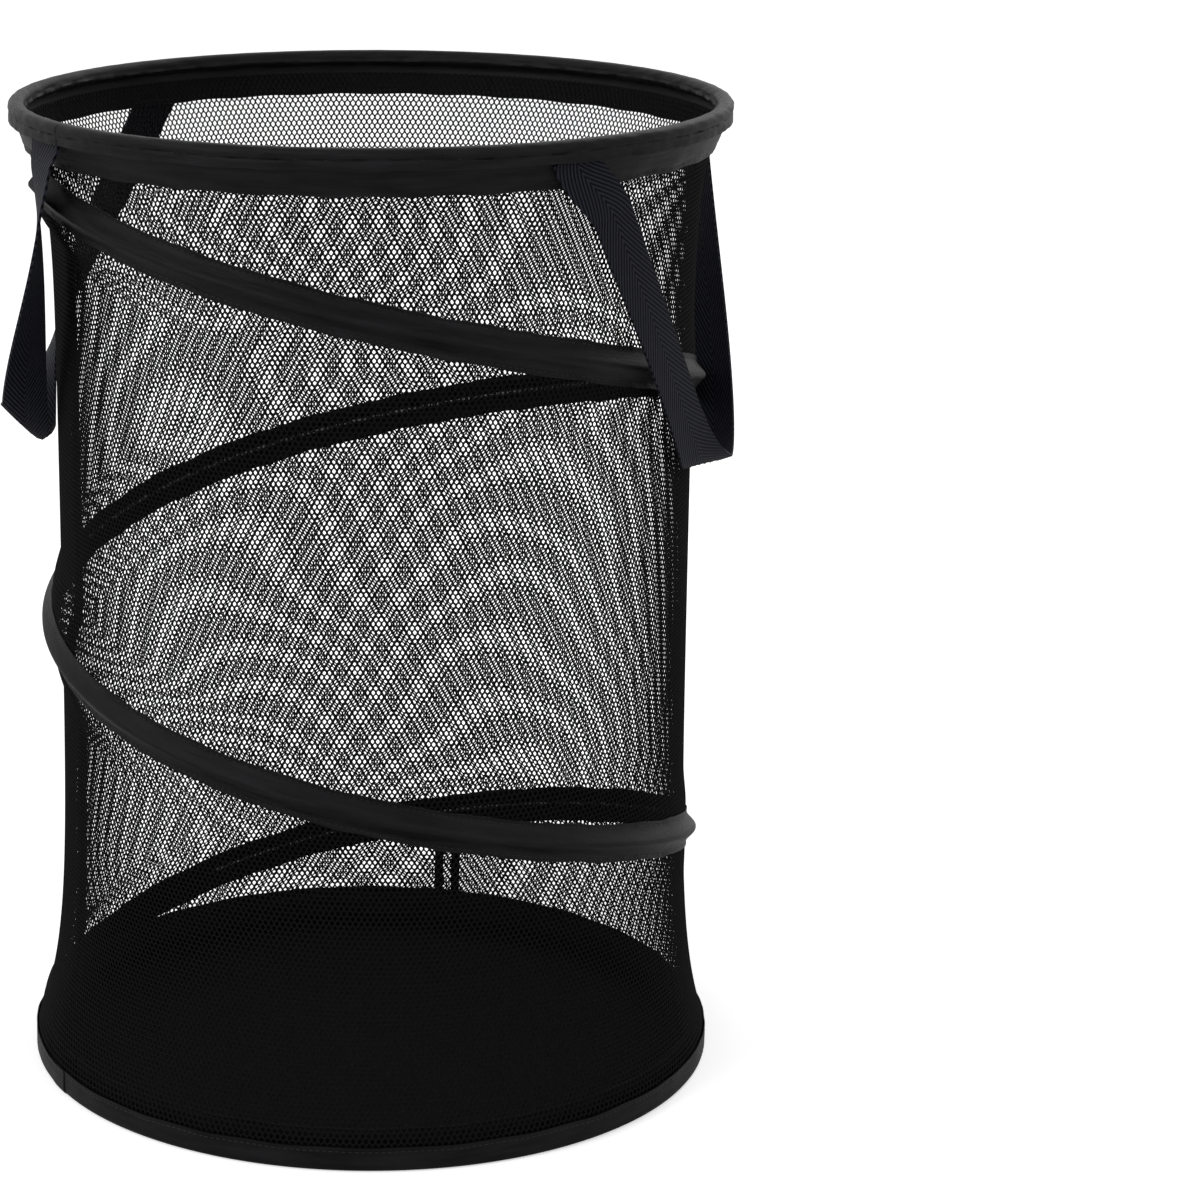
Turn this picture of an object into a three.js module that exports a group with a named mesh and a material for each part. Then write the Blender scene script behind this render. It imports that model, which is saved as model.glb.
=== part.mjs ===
// Pop-up laundry hamper: a net cylinder held open by two spring hoops and one spiral spring.
// Millimetres, +Z up, the floor at z = 0, the axis at the origin, the carry straps on +X and -X.
import * as THREE from "three";
import { mergeVertices } from "three/addons/utils/BufferGeometryUtils.js";

const degree = Math.PI / 180;

// Driving sizes of the whole hamper
const bodyHeight = 530; // floor to the top of the rim
const baseRadius = 188; // outside of the bottom binding
const rimInset = 2; // from there in to the centre line of the top hoop
const waistInset = 17.8; // the net is drawn in this far halfway up
const waistLean = 2.1; // the net is drawn in more at the side seam
const fit = 0.3; // clearance between pieces that lie on each other

// Spring wire and what closes it
const wireDiameter = 3.2;
const ferruleFit = 0.2;
const ferruleWall = 0.45;
const ferruleLength = 16;
const hoopEndGap = 0.6; // between the two ends of a hoop, inside its ferrule
const tipDepth = 8; // how far a cap goes over the end of the spiral wire
const tipNose = 1.3;
const tipSlack = 0.6; // between the wire's end and the bottom of its cap
const tipInset = 4; // the spiral wire stops this far inside its sleeve

// Fabrics
const tapeThickness = 0.8;
const netThickness = 0.8;
const floorThickness = 1.2;
const webbingWidth = 25;
const webbingThickness = 1.4;
const tuckFit = 0.5; // clearance of the webbing between the band and the lip

// Rim binding
const rollWall = 1.45; // tape and folded net round the top hoop
const lipDepth = 6.5; // from the middle of the roll to the lip's lower edge
const bandDepth = 24; // rim top to the band's lower edge
const lipAngle = 26 * degree; // where the lip leaves the roll
const slitAngle = 240 * degree; // where the tape's other edge ends under the hoop

// Bottom binding
const outerHem = 13.5;
const innerHem = 21;
const hemCorner = 2.6;

// Spiral spring in its sewn sleeve
const sleeveWidth = 21;
const sleeveFit = 0.45; // clearance of its two flaps over the net
const sleeveInset = 8.8; // from the bottom binding in to the sleeve's outside, clear of both ends
const spiralTop = 493; // middle of the sleeve at its upper end
const spiralPitch = 254.4; // down per turn
const spiralStart = 217.5 * degree;

// How the net flares out to the hoops and lies against the sleeve
const rimFlareLength = 25;
const baseFlareLength = 45;
const flareShare = 0.8; // the spiral follows this share of the net's own flare
const sleeveHold = 12; // the net follows the sleeve this far from its middle
const sleeveRelease = 36; // and is free of it here

// The net's openings, as a plain grid that stands for its fine mesh
const gridBarWidth = 13; // of the upright and the level bars between them
const gridRows = 10; // openings one above the other
const gridMargin = 2; // net left whole beside the inner hem and the band
const flaredRows = 2; // rows of openings at each end where the net flares
const flaredSteps = 3; // parts that the bars beside them are bent in

// Carry straps
const strapDrop = 174.5; // from the lip down to the lowest point
const strapHalfAngle = 40 * degree; // from the middle of the strap to each sewn end
const strapStandOff = 2.6; // how far the strap swings out below the lip
const strapLowInset = 2; // from the bottom binding's outside in to the webbing's middle, at its lowest
const strapRounding = 0.4; // 0 would be a sharp V, and large values a parabola
const strapTwist = 50 * degree;
const sewnEnd = 19.5; // the stiff end of the webbing that shows below the lip
const leftStrapTurn = 186 * degree;

// Loop that holds the folded hamper shut
const loopWidth = 15.4;
const loopRibbon = 5.2;
const loopHeight = 50;
const ribbonThickness = 1;
const loopTabHeight = 8.5;
const loopLean = 4 * degree;
const loopAngle = 93.75 * degree;

// Side seam
const seamTapeWidth = 9;
const seamTapeThickness = 0.7;
const seamFit = 0.6; // clearance of the tape inside the net
const seamAngle = 221.25 * degree;

// Facets: every ring and the net share these columns, so that neighbours stay parallel
const columns = 48;
const columnStep = 2 * Math.PI / columns;
const spiralSteps = 86; // columns that the spiral passes, from end to end
const gridColumns = columns / 2; // upright bars, each in line with every second column

// Worked out from the sizes above
const rimHoopRadius = baseRadius - rimInset;
const waistRadius = baseRadius - waistInset;
const wireRadius = wireDiameter / 2;
const ferruleRadius = wireRadius + ferruleFit + ferruleWall;
const channelRadius = ferruleRadius + fit;
const rollRadius = channelRadius + rollWall;
const rollHeight = bodyHeight - rollRadius;
const lipOuter = rimHoopRadius + rollRadius * Math.cos(lipAngle);
const lipInner = lipOuter - tapeThickness;
const lipBottom = rollHeight - lipDepth;
const sewnOuter = lipInner - tuckFit;
const sewnMiddle = sewnOuter - webbingThickness / 2;
const bandOuter = sewnOuter - webbingThickness - tuckFit;
const bandBottom = bodyHeight - bandDepth;
const netAtRim = bandOuter - tapeThickness - fit;
const tuckTop = rollHeight + rollRadius * Math.sin(slitAngle) - fit;
const netAtBase = baseRadius - tapeThickness - fit;
const baseHoopRadius = netAtBase - netThickness - fit - ferruleRadius;
const baseHoopHeight = tapeThickness + channelRadius;
const innerHemOuter = baseHoopRadius - channelRadius;
const innerHemInner = innerHemOuter - tapeThickness;
const netBottom = hemCorner + fit;
const spiralBump = 2 * channelRadius + tapeThickness; // from the net to the top of the sleeve
const netAtSleeve = baseRadius - sleeveInset - spiralBump;
const gridBottom = innerHem + gridMargin;
const gridTop = bandBottom - gridMargin;
const openingHeight = (gridTop - gridBottom - (gridRows - 1) * gridBarWidth) / gridRows;
const strapLow = lipBottom - strapDrop;
const strapLowRadius = baseRadius - strapLowInset;

const materials = {
  tape: new THREE.MeshStandardMaterial({ name: "polyester tape", color: 0x1d1d1f, roughness: 0.72 }),
  net: new THREE.MeshStandardMaterial({ name: "polyester net", color: 0x0d0d0e, roughness: 0.8 }),
  floor: new THREE.MeshStandardMaterial({ name: "polyester floor cloth", color: 0x101012, roughness: 0.85 }),
  webbing: new THREE.MeshStandardMaterial({ name: "polyester webbing", color: 0x1d1e26, roughness: 0.78 }),
  ribbon: new THREE.MeshStandardMaterial({ name: "polyester ribbon", color: 0x141416, roughness: 0.75 }),
  wire: new THREE.MeshStandardMaterial({ name: "spring steel", color: 0x6f7276, roughness: 0.35, metalness: 1 }),
  ferrule: new THREE.MeshStandardMaterial({ name: "zinc-plated steel", color: 0xa9adb2, roughness: 0.4, metalness: 1 }),
  cap: new THREE.MeshStandardMaterial({ name: "soft vinyl", color: 0x121212, roughness: 0.55 }),
};

const smooth = (share) => {
  const s = Math.min(1, Math.max(0, share));
  return s * s * (3 - 2 * s);
};
const at = (radius, angle, height) =>
  new THREE.Vector3(radius * Math.cos(angle), radius * Math.sin(angle), height);

// A closed skin over equal rings of points, joined end to end or capped at both ends
function loft(rings, endless) {
  const count = rings[0].length;
  const positions = rings.flat().flatMap((p) => [p.x, p.y, p.z]);
  const faces = [];
  const spans = endless ? rings.length : rings.length - 1;
  for (let i = 0; i < spans; i += 1) {
    const here = i * count;
    const next = (i + 1) % rings.length * count;
    for (let k = 0; k < count; k += 1) {
      const l = (k + 1) % count;
      faces.push(here + k, next + k, next + l, here + k, next + l, here + l);
    }
  }
  if (!endless) {
    const last = (rings.length - 1) * count;
    for (const [a, b, c] of capFaces(rings[0])) {
      faces.push(a, b, c);
      faces.push(last + a, last + c, last + b);
    }
  }
  const geometry = new THREE.BufferGeometry();
  geometry.setAttribute("position", new THREE.Float32BufferAttribute(positions, 3));
  geometry.setIndex(faces);
  return facingOut(geometry);
}

// Triangles over one flat ring of points, which may be hollowed on one side
function capFaces(ring) {
  const normal = new THREE.Vector3();
  ring.forEach((p, k) => normal.add(new THREE.Vector3().crossVectors(p, ring[(k + 1) % ring.length])));
  const across = new THREE.Vector3().subVectors(ring[1], ring[0]).normalize();
  const up = new THREE.Vector3().crossVectors(normal.normalize(), across);
  const flat = ring.map((p) => new THREE.Vector2(p.dot(across), p.dot(up)));
  return THREE.ShapeUtils.triangulateShape(flat, []);
}

// Turns the faces round where the solid is inside out
function facingOut(geometry) {
  const p = geometry.attributes.position;
  const index = geometry.index.array;
  const [a, b, c] = [new THREE.Vector3(), new THREE.Vector3(), new THREE.Vector3()];
  let volume = 0;
  for (let i = 0; i < index.length; i += 3) {
    a.fromBufferAttribute(p, index[i]);
    b.fromBufferAttribute(p, index[i + 1]);
    c.fromBufferAttribute(p, index[i + 2]);
    volume += a.dot(b.cross(c));
  }
  if (volume < 0) {
    for (let i = 0; i < index.length; i += 3) [index[i], index[i + 1]] = [index[i + 1], index[i]];
  }
  geometry.computeVertexNormals();
  return geometry;
}

function merged(geometry) {
  geometry.deleteAttribute("normal");
  geometry.deleteAttribute("uv");
  return facingOut(mergeVertices(geometry));
}

// A profile of [radius, height] points turned once round the hamper's axis
function turned(profile) {
  const closed = profile[0][0] === 0 ? profile : [...profile, profile[0]];
  const outline = closed.map(([radius, height]) => new THREE.Vector2(radius, height));
  return merged(new THREE.LatheGeometry(outline, columns).rotateX(Math.PI / 2));
}

function arc(radius, height, size, from, to, steps) {
  return Array.from({ length: steps + 1 }, (_, i) => {
    const angle = from + (to - from) * i / steps;
    return [radius + size * Math.cos(angle), height + size * Math.sin(angle)];
  });
}

// A length of round wire through the given points, cut square to radial planes
function wire(points, sides) {
  const rings = points.map((p) => {
    const out = new THREE.Vector3(p.x, p.y, 0).normalize();
    return Array.from({ length: sides }, (_, k) => {
      const turn = 2 * Math.PI * (k + 0.5) / sides;
      return p.clone().addScaledVector(out, wireRadius * Math.cos(turn)).setZ(p.z + wireRadius * Math.sin(turn));
    });
  });
  return loft(rings, false);
}

// Points on a ring's facets, so that what lies between two columns is on the straight line
function onFacet(angle, radiusAt, height) {
  const column = Math.floor(angle / columnStep + 1e-6);
  const share = angle / columnStep - column;
  const from = at(radiusAt(column * columnStep, height), column * columnStep, height);
  const to = at(radiusAt((column + 1) * columnStep, height), (column + 1) * columnStep, height);
  return from.lerp(to, share);
}

// Spiral spring: its height and the net's radius under it, by the angle gone round from its top end
const spiralAngles = Array.from({ length: spiralSteps + 1 }, (_, i) => i * columnStep);
const spiralHeight = (gone) => spiralTop - spiralPitch * gone / (2 * Math.PI);

function flare(height) {
  const toRim = (netAtRim - waistRadius) * Math.exp(-(bandBottom - height) / rimFlareLength);
  const toBase = (netAtBase - waistRadius) * Math.exp(-(height - outerHem) / baseFlareLength);
  return toRim + toBase;
}
const netUnderSleeve = (height) => netAtSleeve + flareShare * flare(height);

// Outer radius of the net at any angle and height
function netRadius(angle, height) {
  if (height >= bandBottom) return netAtRim;
  if (height <= outerHem) return netAtBase;
  let radius = waistRadius - waistLean * Math.cos(angle - seamAngle) + flare(height);
  for (const gone of spiralAngles) {
    const off = Math.cos(spiralStart + gone - angle);
    if (off < Math.cos(columnStep / 2)) continue;
    const away = Math.abs(height - spiralHeight(gone));
    const hold = 1 - smooth((away - sleeveHold) / (sleeveRelease - sleeveHold));
    radius += (netUnderSleeve(spiralHeight(gone)) - radius) * hold;
  }
  return Math.min(radius, Math.max(netAtRim, netAtBase));
}

// Heights of the net's rows, and whether the grid is open above each
function netRows() {
  const rows = [{ height: netBottom }, { height: outerHem }];
  for (let i = 0; i < gridRows; i += 1) {
    const low = gridBottom + i * (openingHeight + gridBarWidth);
    const flared = Math.min(i, gridRows - 1 - i) < flaredRows;
    const steps = flared ? flaredSteps : 1;
    for (let k = 0; k < steps; k += 1) rows.push({ height: low + openingHeight * k / steps, open: true });
    rows.push({ height: low + openingHeight });
  }
  rows.push({ height: bandBottom }, { height: tuckTop });
  return rows;
}

// The net wall, a skin of equal cells from which the openings of the grid are left out
function netWall() {
  const rows = netRows();
  const halfBar = gridBarWidth / 2 / waistRadius;
  const angles = Array.from({ length: gridColumns }, (_, i) => {
    const middle = 2 * i * columnStep;
    return [middle - halfBar, middle + halfBar, middle + columnStep];
  }).flat();
  const perBar = angles.length / gridColumns;
  const skin = (depth) => rows.flatMap(({ height }) =>
    angles.map((angle) => onFacet(angle, (turn, z) => netRadius(turn, z) - depth, height)));
  const points = [...skin(0), ...skin(netThickness)];
  const solid = (i, j) => j >= 0 && j < rows.length - 1 && (!rows[j].open || i % perBar === 0);
  const outer = (i, j) => j * angles.length + i % angles.length;
  const inner = (i, j) => outer(i, j) + points.length / 2;
  const faces = [];
  const face = (a, b, c, d) => faces.push(a, b, c, a, c, d);
  for (let j = 0; j < rows.length - 1; j += 1) {
    for (let i = 0; i < angles.length; i += 1) {
      if (!solid(i, j)) continue;
      face(outer(i, j), outer(i + 1, j), outer(i + 1, j + 1), outer(i, j + 1));
      face(inner(i, j), inner(i, j + 1), inner(i + 1, j + 1), inner(i + 1, j));
      if (!solid(i, j + 1)) face(outer(i, j + 1), outer(i + 1, j + 1), inner(i + 1, j + 1), inner(i, j + 1));
      if (!solid(i, j - 1)) face(outer(i, j), inner(i, j), inner(i + 1, j), outer(i + 1, j));
      if (!solid(i + 1, j)) face(outer(i + 1, j), inner(i + 1, j), inner(i + 1, j + 1), outer(i + 1, j + 1));
      if (!solid(i + perBar - 1, j)) face(outer(i, j), outer(i, j + 1), inner(i, j + 1), inner(i, j));
    }
  }
  const geometry = new THREE.BufferGeometry();
  geometry.setAttribute("position", new THREE.Float32BufferAttribute(points.flatMap((p) => [p.x, p.y, p.z]), 3));
  geometry.setIndex(faces);
  return merged(geometry);
}

// Binding tape over the net's vertical join, on the inside and within one facet
function seamTape() {
  const halfTurn = seamTapeWidth / 2 / waistRadius;
  const rows = netRows().map((row) => row.height).filter((height) => height > innerHem && height < bandBottom);
  const rings = [innerHem + fit, ...rows, bandBottom].map((height) => {
    const corner = (side, depth) => onFacet(
      seamAngle + side * halfTurn, (angle, z) => netRadius(angle, z) - netThickness - seamFit - depth, height);
    return [corner(-1, 0), corner(1, 0), corner(1, seamTapeThickness), corner(-1, seamTapeThickness)];
  });
  return loft(rings, false);
}

// Section of the sleeve over the spiral wire: [along the height, out from the net]
function sleeveSection() {
  const half = sleeveWidth / 2;
  const footShare = 1.65;
  const crownShare = 0.75;
  const inner = [
    [half, sleeveFit],
    [channelRadius * footShare, sleeveFit],
    [channelRadius * crownShare, channelRadius * 2],
  ];
  const outwardShares = [[0, 1], [0.7, 1], [0.6, 1]];
  const outer = inner.map(([along, out], k) => [
    along + tapeThickness * outwardShares[k][0],
    out + tapeThickness * outwardShares[k][1],
  ]);
  const mirrored = (path) => path.map(([along, out]) => [-along, out]).reverse();
  return [...inner, ...mirrored(inner), ...mirrored(outer).reverse(), ...[...outer].reverse()];
}

function sleeve() {
  const section = sleeveSection();
  const rings = spiralAngles.map((gone) => {
    const height = spiralHeight(gone);
    const base = netUnderSleeve(height);
    return section.map(([along, out]) => at(base + out, spiralStart + gone, height + along));
  });
  return loft(rings, false);
}

const spiralPoints = spiralAngles.map((gone) => {
  const height = spiralHeight(gone);
  return at(netUnderSleeve(height) + channelRadius, spiralStart + gone, height);
});

// The spiral wire's own points, which stop short of both ends of the sleeve
function spiralWirePoints() {
  const points = spiralPoints.map((p) => p.clone());
  const last = points.length - 1;
  const inset = (end, next) => end.clone().addScaledVector(next.clone().sub(end).normalize(), tipInset);
  points[0] = inset(points[0], points[1]);
  points[last] = inset(points[last], points[last - 1]);
  return points;
}

// How close the spiral comes to itself, surface to surface, from its points
function leastSpiralGap() {
  const turn = columns;
  let least = Infinity;
  spiralPoints.forEach((p, i) => {
    for (let k = i + turn / 2; k < spiralPoints.length; k += 1) {
      least = Math.min(least, p.distanceTo(spiralPoints[k]) - wireDiameter);
    }
  });
  return least;
}

// Vinyl cap over a wire end, with its closed nose away from the wire
function wireTip(end, inward) {
  const bore = wireRadius + ferruleFit;
  const outline = [
    [0, tipNose], [wireRadius, tipNose], [ferruleRadius, 0], [ferruleRadius, -tipDepth],
    [bore, -tipDepth], [bore, 0], [0, 0],
  ].map(([radius, along]) => new THREE.Vector2(radius, along));
  const cap = merged(new THREE.LatheGeometry(outline, 12));
  const out = end.clone().sub(inward).normalize();
  cap.applyQuaternion(new THREE.Quaternion().setFromUnitVectors(new THREE.Vector3(0, 1, 0), out));
  const middle = end.clone().addScaledVector(out, tipSlack);
  return cap.translate(middle.x, middle.y, middle.z);
}

// A hoop is one length of wire, and its ends meet inside a ferrule in the middle of a facet
function hoopWire(radius, height) {
  const gapTurn = hoopEndGap / 2 / radius;
  const first = Math.ceil(seamAngle / columnStep);
  const points = [onFacet(seamAngle + gapTurn, () => radius, height)];
  for (let i = 0; i < columns; i += 1) points.push(at(radius, (first + i) * columnStep, height));
  points.push(onFacet(seamAngle - gapTurn, () => radius, height));
  return wire(points, 6);
}

function hoopFerrule(radius, height) {
  const bore = wireRadius + ferruleFit;
  const half = ferruleLength / 2;
  const outline = [[bore, -half], [ferruleRadius, -half], [ferruleRadius, half], [bore, half], [bore, -half]]
    .map(([across, along]) => new THREE.Vector2(across, along));
  const tube = merged(new THREE.LatheGeometry(outline, 12));
  const middle = onFacet(seamAngle, () => radius, height);
  tube.rotateZ(seamAngle);
  return tube.translate(middle.x, middle.y, middle.z);
}

// Tape rolled over the top hoop, slit underneath, with a lip over the sewn strap ends
function rimRoll() {
  const lipTop = rollHeight - rollRadius * Math.sin(lipAngle);
  return turned([
    [lipOuter, lipBottom],
    ...arc(rimHoopRadius, rollHeight, rollRadius, -lipAngle, Math.PI / 2, 4),
    ...arc(rimHoopRadius, rollHeight, rollRadius, Math.PI / 2, slitAngle, 4).slice(1),
    ...arc(rimHoopRadius, rollHeight, channelRadius, slitAngle, -lipAngle, 6),
    [lipInner, lipTop],
    [lipInner, lipBottom],
  ]);
}

function rimBand() {
  return turned([
    [bandOuter, bandBottom], [bandOuter, tuckTop],
    [bandOuter - tapeThickness, tuckTop], [bandOuter - tapeThickness, bandBottom],
  ]);
}

// Tape folded up round the bottom hoop: a short outer hem and a taller inner one
function bottomBinding() {
  return turned([
    [baseRadius, outerHem],
    ...arc(baseRadius - hemCorner, hemCorner, hemCorner, 0, -Math.PI / 2, 3),
    ...arc(innerHemInner + hemCorner, hemCorner, hemCorner, -Math.PI / 2, -Math.PI, 3),
    [innerHemInner, innerHem],
    [innerHemOuter, innerHem],
    [innerHemOuter, hemCorner],
    [innerHemOuter + tapeThickness, tapeThickness],
    [baseRadius - hemCorner, tapeThickness],
    [baseRadius - tapeThickness, hemCorner],
    [baseRadius - tapeThickness, outerHem],
  ]);
}

function floorPanel() {
  const edge = innerHemInner - fit;
  return turned([[0, 0], [edge, 0], [edge, floorThickness], [0, floorThickness]]);
}

// Middle line of a strap. The share along it is 0 at the lowest point and 1 or -1 at the lip
function strapPoint(share) {
  const c = strapRounding;
  const rise = (Math.hypot(share, c) - c) / (Math.hypot(1, c) - c);
  const gone = 1 - Math.abs(share);
  const standOffShare = 0.08;
  const steepShare = 0.3;
  const out = strapStandOff * smooth(gone / standOffShare);
  const low = (sewnMiddle + strapStandOff - strapLowRadius) * smooth((gone - steepShare) / (1 - steepShare));
  return at(sewnMiddle + out - low, strapHalfAngle * share, strapLow + strapDrop * rise);
}

// A cut across the webbing, flat to the wall at the lip and twisted towards the low point
function strapRing(share, twistWay, places) {
  const middle = strapPoint(share);
  const step = 1e-3;
  const along = strapPoint(share + step).sub(strapPoint(share - step)).normalize();
  const out = new THREE.Vector3(middle.x, middle.y, 0).normalize();
  out.addScaledVector(along, -out.dot(along)).normalize();
  const side = new THREE.Vector3().crossVectors(along, out);
  const twist = twistWay * strapTwist * smooth(1 - Math.abs(share));
  const across = side.clone().multiplyScalar(Math.cos(twist)).addScaledVector(out, Math.sin(twist));
  const face = new THREE.Vector3().crossVectors(across, along);
  const point = (w, t) => middle.clone()
    .addScaledVector(across, w * webbingWidth / 2)
    .addScaledVector(face, t * webbingThickness / 2);
  return [...places.map((w) => point(w, -1)), ...[...places].reverse().map((w) => point(w, 1))];
}

// The share at which the strap's middle is the given distance below the lip
function shareBelowLip(depth) {
  const c = strapRounding;
  const rise = 1 - depth / strapDrop;
  return Math.sqrt((rise * (Math.hypot(1, c) - c) + c) ** 2 - c * c);
}

function strapLoop(twistWay) {
  const steps = 32;
  const end = shareBelowLip(sewnEnd + fit);
  const edges = [-1, 1];
  const rings = Array.from({ length: steps + 1 }, (_, i) => strapRing(end * (2 * i / steps - 1), twistWay, edges));
  return loft(rings, false);
}

// The end of a strap that stays by the rim: tucked up behind the lip and sewn to the band
function strapEnd(side, twistWay, turn) {
  const places = [-1, -0.5, 0, 0.5, 1];
  const low = strapRing(side * shareBelowLip(sewnEnd), twistWay, places);
  const slant = Math.atan2(low[0].z - low[4].z, webbingWidth);
  const halfTurn = webbingWidth / 2 / Math.cos(slant) / sewnMiddle;
  const tucked = (height) => low.map((_, k) => {
    const place = k < places.length ? places[k] : places[low.length - 1 - k];
    const radius = sewnMiddle + (k < places.length ? -1 : 1) * webbingThickness / 2;
    const angle = turn + strapHalfAngle * side + place * side * halfTurn;
    return onFacet(angle, () => radius, height).applyAxisAngle(new THREE.Vector3(0, 0, 1), -turn);
  });
  const lip = tucked(lipBottom);
  const risingShares = [0.4, 0.75];
  const rising = risingShares.map((share) => low.map((p, k) => p.clone().lerp(lip[k], share)));
  return loft([low, ...rising, lip, tucked(tuckTop)], false);
}

// Flat ribbon bent over into a narrow loop, in its own plane, with its open end down
function stowLoop() {
  const half = loopWidth / 2;
  const inner = half - loopRibbon;
  const shape = new THREE.Shape();
  shape.moveTo(-half, 0);
  shape.lineTo(-inner, 0);
  shape.lineTo(-inner, loopHeight - half);
  shape.absarc(0, loopHeight - half, inner, Math.PI, 0, true);
  shape.lineTo(inner, 0);
  shape.lineTo(half, 0);
  shape.lineTo(half, loopHeight - half);
  shape.absarc(0, loopHeight - half, half, 0, Math.PI, false);
  const loop = new THREE.ExtrudeGeometry(shape, { depth: ribbonThickness, bevelEnabled: false, curveSegments: 5 });
  return merged(loop);
}

function loopTab() {
  const half = loopWidth / 2;
  const chamfer = 1;
  const shape = new THREE.Shape([
    [-half, 0], [half, 0], [half, loopTabHeight - chamfer], [half - chamfer, loopTabHeight],
    [chamfer - half, loopTabHeight], [-half, loopTabHeight - chamfer],
  ].map(([across, up]) => new THREE.Vector2(across, up)));
  return merged(new THREE.ExtrudeGeometry(shape, { depth: ribbonThickness, bevelEnabled: false }));
}

function named(name, geometry, material) {
  const mesh = new THREE.Mesh(geometry, material.clone());
  mesh.name = name;
  return mesh;
}

// Base: floor, bottom hoop, net wall and spiral
function base() {
  const group = new THREE.Group();
  const wirePoints = spiralWirePoints();
  const last = wirePoints.length - 1;
  group.add(
    named("floor_panel", floorPanel(), materials.floor),
    named("bottom_hoop_wire", hoopWire(baseHoopRadius, baseHoopHeight), materials.wire),
    named("bottom_hoop_ferrule", hoopFerrule(baseHoopRadius, baseHoopHeight), materials.ferrule),
    named("bottom_binding", bottomBinding(), materials.tape),
    named("mesh_wall", netWall(), materials.net),
    named("side_seam_tape", seamTape(), materials.tape),
    named("spiral_wire", wire(wirePoints, 6), materials.wire),
    named("spiral_sleeve", sleeve(), materials.tape),
    named("spiral_tip_top", wireTip(wirePoints[0], wirePoints[1]), materials.cap),
    named("spiral_tip_bottom", wireTip(wirePoints[last], wirePoints[last - 1]), materials.cap),
  );
  return group;
}

// The stow loop stands on the outer hem, in the middle of a facet
function stowLoopGroup() {
  const facetRadius = baseRadius * Math.cos(columnStep / 2) + fit;
  const place = new THREE.Group();
  place.rotation.z = loopAngle;
  const tab = named("stow_loop_tab", loopTab(), materials.ribbon);
  tab.rotation.set(Math.PI / 2, 0, Math.PI / 2, "ZYX");
  tab.position.set(facetRadius, 0, hemCorner);
  const leaning = new THREE.Group();
  leaning.position.set(facetRadius, 0, hemCorner + loopTabHeight + fit);
  leaning.rotation.y = loopLean;
  const loop = named("stow_loop", stowLoop(), materials.ribbon);
  loop.rotation.copy(tab.rotation);
  leaning.add(loop);
  place.add(tab, leaning);
  return place;
}

// Rim: top hoop, its rolled tape, the band and the four sewn strap ends
function rim() {
  const group = new THREE.Group();
  group.add(
    named("top_hoop_wire", hoopWire(rimHoopRadius, rollHeight), materials.wire),
    named("top_hoop_ferrule", hoopFerrule(rimHoopRadius, rollHeight), materials.ferrule),
    named("rim_roll", rimRoll(), materials.tape),
    named("rim_band", rimBand(), materials.tape),
  );
  return group;
}

// One carry strap with its two sewn ends, made on +X and turned into place
function strap(name, twistWay, turn) {
  const group = new THREE.Group();
  group.rotation.z = turn;
  group.add(
    named(`handle_${name}`, strapLoop(twistWay), materials.webbing),
    named(`handle_${name}_end_a`, strapEnd(-1, twistWay, turn), materials.webbing),
    named(`handle_${name}_end_b`, strapEnd(1, twistWay, turn), materials.webbing),
  );
  return group;
}

const hamper = new THREE.Group();
hamper.add(base(), stowLoopGroup(), rim(), strap("right", -1, 0), strap("left", 1, leftStrapTurn));

console.log(`least gap of the spiral to itself: ${leastSpiralGap().toFixed(1)} mm`);

export default hamper;
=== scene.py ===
import math

import bpy
import numpy as np
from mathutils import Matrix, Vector


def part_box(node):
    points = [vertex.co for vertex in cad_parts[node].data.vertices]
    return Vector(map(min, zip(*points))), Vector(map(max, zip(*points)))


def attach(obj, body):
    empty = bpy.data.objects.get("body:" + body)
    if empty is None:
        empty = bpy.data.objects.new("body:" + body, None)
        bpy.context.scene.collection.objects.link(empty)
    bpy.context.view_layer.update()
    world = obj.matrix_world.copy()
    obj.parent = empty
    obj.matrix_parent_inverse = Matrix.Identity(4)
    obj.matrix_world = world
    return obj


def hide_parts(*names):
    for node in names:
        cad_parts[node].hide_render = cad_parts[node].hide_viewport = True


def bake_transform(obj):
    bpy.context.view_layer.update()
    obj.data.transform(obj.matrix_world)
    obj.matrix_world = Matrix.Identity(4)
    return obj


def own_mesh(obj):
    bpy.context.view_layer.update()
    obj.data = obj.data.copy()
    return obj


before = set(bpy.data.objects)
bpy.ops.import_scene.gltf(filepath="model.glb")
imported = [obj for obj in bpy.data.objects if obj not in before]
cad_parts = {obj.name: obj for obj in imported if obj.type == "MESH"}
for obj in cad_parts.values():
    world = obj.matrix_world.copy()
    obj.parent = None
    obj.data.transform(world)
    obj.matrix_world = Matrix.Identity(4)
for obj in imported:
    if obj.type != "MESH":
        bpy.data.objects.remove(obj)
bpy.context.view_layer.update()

mm = 0.001
degree = math.pi / 180
fullTurn = 2 * math.pi


# Camera: a long lens from the front, a little above the rim
camera = {
    "distance": 1905 * mm,  # from the hamper's axis, along the floor
    "height": 792 * mm,
    "aim": 254 * mm,  # the point of the axis that lies at the middle of the frame's height
    "azimuth": 18,  # degrees round from the front
    "lens": 108.6,
    "shift": 0.191,  # the hamper stands left of the middle
}


def placeCamera():
    turn = camera["azimuth"] * degree
    spot = Vector((
        camera["distance"] * math.sin(turn),
        -camera["distance"] * math.cos(turn),
        camera["height"],
    ))
    bpy.ops.object.select_all(action="DESELECT")
    bpy.ops.object.camera_add(location=spot)
    eye = bpy.context.object
    eye.rotation_euler = (Vector((0, 0, camera["aim"])) - spot).to_track_quat("-Z", "Y").to_euler()
    eye.data.lens = camera["lens"]
    eye.data.sensor_width = 36
    eye.data.shift_x = camera["shift"]
    eye.data.dof.use_dof = False
    eye.data.clip_end = 30
    bpy.context.scene.camera = eye


placeCamera()
print("camera placed")


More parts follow.
